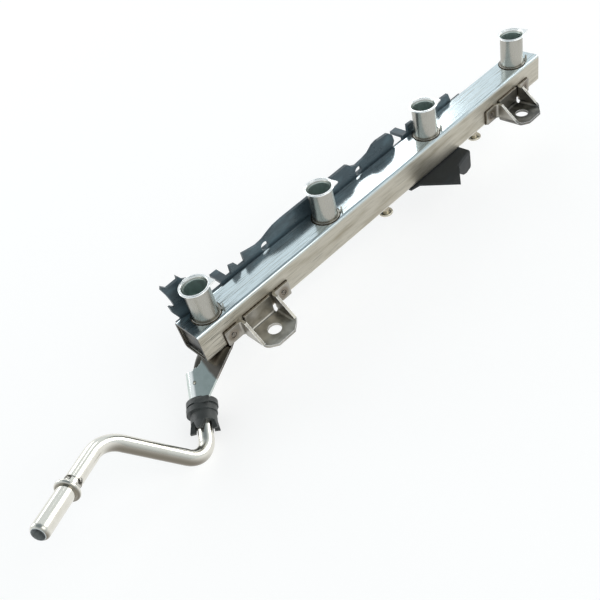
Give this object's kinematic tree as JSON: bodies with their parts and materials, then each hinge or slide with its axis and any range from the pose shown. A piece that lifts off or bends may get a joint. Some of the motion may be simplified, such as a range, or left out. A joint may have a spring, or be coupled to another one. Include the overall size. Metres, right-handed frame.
{
  "type": "fuel rail",
  "caption": "Square-tube fuel rail with injector cups, pressed bolt-down feet, a bent quick-connect inlet pipe on a clipped bracket and a moulded wiring tray.",
  "frame": {"origin": "midway between the two foot bolt holes, on the face of the feet's plates that seats on the engine", "axes": "+X along the rail from the inlet end to the far end, +Y from the feet to the wiring tray, +Z out of the injector cups' mouths"},
  "size_m": [0.4394, 0.0801, 0.0778],
  "materials": {
    "rail_steel": "brushed along its length, heat tinted",
    "cap_steel": "dark, dull",
    "cup_steel": "satin, drawn",
    "foot_steel": "satin with brown heat tint round the welds",
    "pipe_steel": "bright, smooth",
    "zinc_steel": "grey-green zinc plate, matt",
    "clip_plastic": "moulded, satin",
    "tray_plastic": "moulded, semi-gloss",
    "stud_steel": "turned",
    "black_bracket": "black coated, satin"
  },
  "bodies": {
    "root": {"rail_tube": "rail_steel", "inlet_end_cap": "cap_steel", "far_end_cap": "cap_steel", "injector_cup_1": "cup_steel", "injector_cup_2": "cup_steel", "injector_cup_3": "cup_steel", "injector_cup_4": "cup_steel", "foot_bracket_inlet": "foot_steel", "foot_bracket_far": "foot_steel", "inlet_pipe": "pipe_steel", "pipe_support_bracket": "zinc_steel", "pipe_clip": "clip_plastic", "harness_tray": "tray_plastic", "tray_stud_1": "stud_steel", "tray_stud_2": "stud_steel", "connector_bracket": "black_bracket"}
  },
  "joints": []
}
